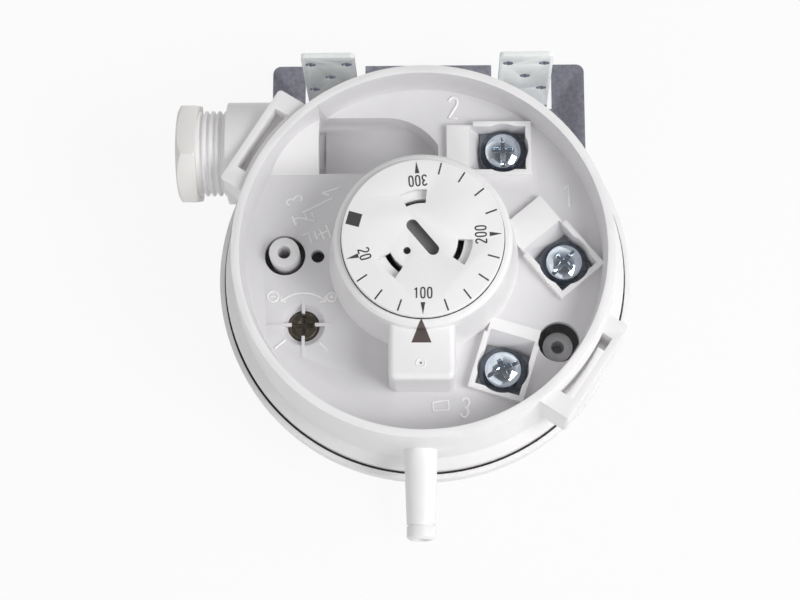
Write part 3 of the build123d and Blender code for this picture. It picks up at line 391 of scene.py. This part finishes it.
slots = {entry["node"]: entry["material_slot"] for entry in frame["record"]["subparts"]}
bodies = frame["record"]["behaviour"]["bodies"]
node_body = {node: body for body, members in bodies.items() for node in members}
for node, slot in slots.items():
    look = rounded_copy(node, EDGE_ROUNDING.get(node, SMALL_ROUNDING))
    dress(look, slot, node_body[node])
    # Painted shade or a painted highlight on the chosen faces
    if node in PAINTED_LIGHT_FACES:
        finish, chosen = PAINTED_LIGHT_FACES[node]
        second_finish(look, materials[finish], chosen)
    if node in SPRINGS:
        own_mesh(look)


# Print on the dial, marks moulded into the housing and a painted shadow round the dial
def added_piece(name, mesh, finish, body):
    """New piece of a mesh that rides on a body."""
    piece = linked(name, mesh)
    mesh.materials.clear()
    mesh.materials.append(materials[finish])
    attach(piece, body)
    return piece


def closed_piece(name, work, finish, body):
    """New piece of a closed bmesh."""
    bmesh.ops.recalc_face_normals(work, faces=work.faces)
    mesh = bpy.data.meshes.new(name)
    work.to_mesh(mesh)
    work.free()
    added_piece(name, mesh, finish, body)


def flat_print(name, outlines, base, finish, body):
    """Thin flat shapes from closed outlines, lying on the level base."""
    work = bmesh.new()
    for outline in outlines:
        foot, top = [
            [work.verts.new((x * MM, y * MM, level * MM)) for x, y in outline]
            for level in (base - PRINT_SINK, base + PRINT_THICKNESS)
        ]
        work.faces.new(top)
        work.faces.new(foot[::-1])
        for index in range(len(outline)):
            follow = (index + 1) % len(outline)
            work.faces.new((foot[index], foot[follow], top[follow], top[index]))
    closed_piece(name, work, finish, body)


def ridges(name, lines, base, radius=RIDGE_RADIUS):
    """Half-round ridges along lines on the level base, as moulded into the plastic, in a lighter
    copy of it that paints a highlight on them.
    """
    curve = bpy.data.curves.new(name, "CURVE")
    curve.dimensions = "3D"
    curve.bevel_depth = radius * MM
    curve.bevel_resolution = 2
    curve.use_fill_caps = True
    for line in lines:
        spline = curve.splines.new("POLY")
        spline.points.add(len(line) - 1)
        for point, (x, y) in zip(spline.points, line):
            point.co = (x * MM, y * MM, base * MM, 1)
    source = linked(name + "_line", curve)
    mesh = evaluated_mesh(source)
    bpy.data.objects.remove(source)
    mesh.shade_smooth()
    piece = added_piece(name, mesh, "mark_plastic", "housing")


def polar(radius, degrees, sideways=0.0):
    """Point at a radius and angle, shifted sideways across the radius."""
    turn = math.radians(degrees)
    return (
        radius * math.cos(turn) - sideways * math.sin(turn),
        radius * math.sin(turn) + sideways * math.cos(turn),
    )


def circle(centre, radius, steps=24):
    """Closed round line."""
    points = [polar(radius, 360 * step / steps) for step in range(steps + 1)]
    return [(centre[0] + x, centre[1] + y) for x, y in points]


def ribbon(line, width):
    """Four-sided outlines along a line, joined at its corners."""
    sides = []
    for index, point in enumerate(line):
        before = line[max(index - 1, 0)]
        after = line[min(index + 1, len(line) - 1)]
        if line[0] == line[-1] and index in (0, len(line) - 1):
            before, after = line[-2], line[1]
        along = Vector((after[0] - before[0], after[1] - before[1])).normalized()
        shift = Vector((-along.y, along.x)) * width / 2
        sides.append((
            (point[0] + shift.x, point[1] + shift.y),
            (point[0] - shift.x, point[1] - shift.y),
        ))
    return [(a[0], b[0], b[1], a[1]) for a, b in zip(sides, sides[1:])]


def placed(shape, centre, height, degrees=0.0):
    """Outline of unit height scaled, turned and moved to its centre."""
    turn = math.radians(degrees)
    return [(
        centre[0] + height * (x * math.cos(turn) - y * math.sin(turn)),
        centre[1] + height * (x * math.sin(turn) + y * math.cos(turn)),
    ) for x, y in shape]


def between(p, q, r, s, t):
    """Value a share t of the way from q to r, on a smooth curve through all four."""
    return 0.5 * (
        2 * q + (r - p) * t
        + (2 * p - 5 * q + 4 * r - s) * t ** 2
        + (3 * q - p - 3 * r + s) * t ** 3
    )


def smooth(points, steps=5):
    """Points along a curve that passes through the given ones."""
    ends = [points[0], *points, points[-1]]
    if points[0] == points[-1]:
        ends = [points[-2], *points, points[1]]
    result = []
    for four in zip(ends, ends[1:], ends[2:], ends[3:]):
        for step in range(steps):
            result.append(tuple(between(*values, step / steps) for values in zip(*four)))
    return result + [points[-1]]


# Digits of unit height round their own centre
NOUGHT = smooth([
    (0, 0.5), (-0.15, 0.4), (-0.19, 0), (-0.15, -0.4),
    (0, -0.5), (0.15, -0.4), (0.19, 0), (0.15, 0.4), (0, 0.5),
])
ONE = [(-0.15, 0.3), (0.04, 0.5), (0.04, -0.5)]
TWO = smooth([
    (-0.19, 0.3), (-0.14, 0.44), (0, 0.5), (0.15, 0.42),
    (0.19, 0.26), (0.12, 0.04), (-0.06, -0.24), (-0.2, -0.5),
]) + [(0.21, -0.5)]
THREE = smooth([
    (-0.18, 0.34), (-0.12, 0.45), (0.01, 0.5), (0.14, 0.43),
    (0.18, 0.27), (0.12, 0.09), (-0.03, 0.03),
]) + smooth([
    (-0.03, 0.03), (0.13, -0.05), (0.2, -0.24), (0.14, -0.43),
    (0, -0.5), (-0.13, -0.45), (-0.19, -0.33),
])
DIGITS = {"0": NOUGHT, "1": ONE, "2": TWO, "3": THREE}


def number_print(value, angle):
    """A printed number, its foot towards the dial's edge."""
    digits = str(value)
    outlines = []
    for index, digit in enumerate(digits):
        shift = (index - (len(digits) - 1) / 2) * DIGIT_WIDTH
        middle = polar(NUMBER_RADIUS[value], angle, shift)
        shape = placed(DIGITS[digit], middle, NUMBER_HEIGHT, angle + 90)
        outlines += ribbon(shape, NUMBER_STROKE)
    flat_print(f"dial_number_{value}", outlines, DIAL_TOP, "printing_ink", "dial")


def bar(inner, outer, angle, half):
    """Outline of a straight bar along the dial's radius."""
    return (
        polar(inner, angle, -half), polar(outer, angle, -half),
        polar(outer, angle, half), polar(inner, angle, half),
    )


def arrow(angle):
    """Outline of a slim arrow that points at the dial's edge."""
    return (
        polar(ARROW_FOOT, angle, -ARROW_WIDTH / 2),
        polar(TICK_OUTER, angle),
        polar(ARROW_FOOT, angle, ARROW_WIDTH / 2),
    )


scale_marks = []
for value in range(SCALE_FIRST, SCALE_LAST + 1, SCALE_STEP):
    angle = SCALE_START + (value - SCALE_FIRST) / SCALE_STEP * SCALE_TURN
    if value in NUMBER_RADIUS:
        scale_marks.append(arrow(angle))
        number_print(value, angle)
    else:
        scale_marks.append(bar(TICK_INNER, TICK_OUTER, angle, TICK_WIDTH / 2))
scale_marks.append(bar(SQUARE_INNER, SQUARE_OUTER, SQUARE_ANGLE, SQUARE_HALF))
flat_print("dial_scale", scale_marks, DIAL_TOP, "printing_ink", "dial")

# Pointer triangle, which follows the step from the tower down to the block
pointer = bmesh.new()
upper, lower = [
    [[pointer.verts.new((
        (POINTER_SHIFT + side * half) * MM, -(distance + lift) * MM, (level + lift) * MM,
    )) for side in (-1, 1)] for distance, level, half in POINTER_ROWS]
    for lift in (PRINT_THICKNESS, -PRINT_THICKNESS)
]
for index in range(len(POINTER_ROWS) - 1):
    for row, follow in ((upper[index], upper[index + 1]), (lower[index], lower[index + 1])):
        pointer.faces.new((row[0], row[1], follow[1], follow[0]))
    for side in (0, 1):
        pointer.faces.new((
            upper[index][side], upper[index + 1][side], lower[index + 1][side], lower[index][side],
        ))
for index in (0, -1):
    pointer.faces.new((upper[index][0], upper[index][1], lower[index][1], lower[index][0]))
closed_piece("pointer_triangle", pointer, "pointer_ink", "housing")

# Painted shadow of the gap round the dial: a dark ring on top of the tower
gap_line = []
for step in range(GAP_STEPS):
    start, end = 360 * step / GAP_STEPS, 360 * (step + 1) / GAP_STEPS
    gap_line.append((
        polar(GAP_INNER, start), polar(GAP_OUTER, start),
        polar(GAP_OUTER, end), polar(GAP_INNER, end),
    ))
flat_print("dial_gap_painted_shadow", gap_line, TOWER_TOP, "gap_shade", "housing")

# Terminal numbers, and a contact symbol beside the tower
ridges("mark_terminal_1", [placed(ONE, (32.67, 14.35), 5.3)], FLOOR_HEIGHT)
ridges("mark_terminal_2", [placed(TWO, (6.82, 35.52), 5.0)], FLOOR_HEIGHT)
ridges("mark_terminal_3", [placed(THREE, (9.03, -34.27), 4.3, -6)], FLOOR_HEIGHT)
ridges("mark_frame", [
    [(1.87, -33.0), (5.3, -32.6), (5.5, -34.6), (2.05, -35.0), (1.87, -33.0)],
], FLOOR_HEIGHT, FINE_RIDGE)
ridges("mark_contacts", [
    placed(THREE, (-29.3, 13.7), 3.6, 112),
    placed(TWO, (-27.9, 9.3), 3.0, 118),
    [(-27.4, 10.8), (-20.5, 14.3)],
    [(-23.0, 15.4), (-19.1, 16.7)],
    [(-23.0, 15.4), (-21.3, 14.9)],
    [(-29.7, 10.0), (-28.8, 7.8)],
    [(-27.1, 9.4), (-24.4, 8.8), (-25.2, 10.9)],
    [(-27.4, 5.4), (-26.0, 6.1), (-25.1, 3.5)],
    [(-24.6, 6.5), (-23.9, 4.5)],
    [(-23.4, 6.9), (-22.3, 4.5)],
    [(-22.0, 8.0), (-20.9, 5.0)],
    [(-23.9, 5.6), (-21.4, 6.6)],
], FLOOR_HEIGHT, FINE_RIDGE)


# Marks round the differential screw: less, more, the arc between them and two ticks
def barb(tip, side):
    """Two strokes of an arrowhead at the arc's end."""
    return [(tip[0] - side * 0.2, tip[1] + 1.2), tip, (tip[0] - side * 1.3, tip[1] - 0.1)]


arc = []
for step in range(ARC_POINTS):
    x, y = polar(ARC_RADIUS, ARC_START + ARC_STEP * step)
    arc.append((SCREW[0] + x, SCREW[1] + y))
ridges("mark_differential", [
    circle(LESS, LESS_RADIUS),
    [(LESS[0] - 0.6, LESS[1]), (LESS[0] + 0.6, LESS[1])],
    circle(MORE, MORE_RADIUS),
    [(MORE[0] - 0.55, MORE[1]), (MORE[0] + 0.55, MORE[1])],
    [(MORE[0], MORE[1] - 0.55), (MORE[0], MORE[1] + 0.55)],
    arc,
    barb(arc[0], 1),
    barb(arc[-1], -1),
    [(-33.15, -20.5), (-30.83, -18.62)],
    [(-23.24, -19.37), (-21.33, -21.25)],
], FLOOR_HEIGHT, FINE_RIDGE)

# Injection gate on the pointer block
ridges("mark_gate", [circle(GATE, GATE_RADIUS)], BLOCK_TOP, GATE_RIDGE)
flat_print("gate_dot", [circle(GATE, GATE_DOT, 12)[:-1]], BLOCK_TOP, "pointer_ink", "housing")

# Camera
camera_data = bpy.data.cameras.new("camera")
camera_data.sensor_width = SENSOR_WIDTH
camera_data.lens = FOCAL_PIXELS * SENSOR_WIDTH / IMAGE_WIDTH
camera_data.clip_start = 0.01
camera_data.clip_end = 10
camera = linked("camera", camera_data)
right = Vector((math.cos(CAMERA_ROLL), 0, -math.sin(CAMERA_ROLL)))
forward = Vector((
    -math.sin(CAMERA_ROLL) * math.cos(CAMERA_TILT),
    math.sin(CAMERA_TILT),
    -math.cos(CAMERA_ROLL) * math.cos(CAMERA_TILT),
))
axes = Matrix((right, right.cross(forward), -forward)).transposed()
camera.matrix_world = Matrix.Translation(CAMERA_PLACE) @ axes.to_4x4()
scene.camera = camera
scene.view_settings.view_transform = "Standard"


# World, floor and lamps
def when(tree, ray, usual, other):
    """Shader that is other for one kind of ray and usual for the rest."""
    path = tree.nodes.new("ShaderNodeLightPath")
    mix = tree.nodes.new("ShaderNodeMixShader")
    tree.links.new(path.outputs[ray], mix.inputs["Fac"])
    tree.links.new(usual, mix.inputs[1])
    tree.links.new(other, mix.inputs[2])
    return mix.outputs[0]


world = bpy.data.worlds.new("studio")
world.use_nodes = True
scene.world = world
tree = world.node_tree
ambient = tree.nodes["Background"]
ambient.inputs["Color"].default_value = WHITE
ambient.inputs["Strength"].default_value = AMBIENT_STRENGTH
white = add_node(tree, "ShaderNodeBackground", Color=WHITE, Strength=1.0)

# What metal reflects: white walls all round, and a dim ceiling above
WALLS = [
    (0.0, (1, 1, 1)),
    (0.45, (1, 1, 1)),
    (0.72, (0.38, 0.38, 0.39)),
    (0.93, (0.12, 0.12, 0.13)),
]
direction = tree.nodes.new("ShaderNodeTexCoord")
height = tree.nodes.new("ShaderNodeSeparateXYZ")
tree.links.new(direction.outputs["Generated"], height.inputs["Vector"])
room = add_node(tree, "ShaderNodeBackground", Strength=1.0)
tree.links.new(ramp(tree, height.outputs["Z"], WALLS), room.inputs["Color"])
seen = when(tree, "Is Camera Ray", ambient.outputs[0], white.outputs[0])
seen = when(tree, "Is Glossy Ray", seen, room.outputs[0])
tree.links.new(seen, tree.nodes["World Output"].inputs["Surface"])

# Floor: pale to the light, near white to the camera, where it still shows the shadow
floor_mesh = bpy.data.meshes.new("floor")
corners = [(-1, -1), (1, -1), (1, 1), (-1, 1)]
floor_mesh.from_pydata(
    [(x * FLOOR_HALF, y * FLOOR_HALF, FLOOR_LEVEL) for x, y in corners], [], [(0, 1, 2, 3)]
)
floor = linked("floor", floor_mesh)
floor_material, floor_shader = new_material("floor_white", (0.78, 0.78, 0.78), 0.9)
tree = floor_material.node_tree
glow = add_node(tree, "ShaderNodeEmission", Color=WHITE, Strength=1.0)
paler = add_node(tree, "ShaderNodeMixShader", Fac=FLOOR_WHITENESS)
tree.links.new(floor_shader.outputs[0], paler.inputs[1])
tree.links.new(glow.outputs[0], paler.inputs[2])
seen = when(tree, "Is Camera Ray", floor_shader.outputs[0], paler.outputs[0])
seen = when(tree, "Is Glossy Ray", seen, glow.outputs[0])
tree.links.new(seen, tree.nodes["Material Output"].inputs["Surface"])
floor_mesh.materials.append(floor_material)


def area_lamp(name, place, size, power):
    """Soft square lamp aimed at the object."""
    data = bpy.data.lights.new(name, "AREA")
    data.size = size
    data.energy = power
    lamp = linked(name, data)
    lamp.location = place
    lamp.rotation_mode = "QUATERNION"
    lamp.rotation_quaternion = (Vector(LAMP_TARGET) - Vector(place)).to_track_quat("-Z", "Y")


area_lamp("key", (0.47, -0.2, 0.54), 0.4, 3.25)
area_lamp("fill", (-0.35, -0.45, 0.5), 0.6, 0.6)
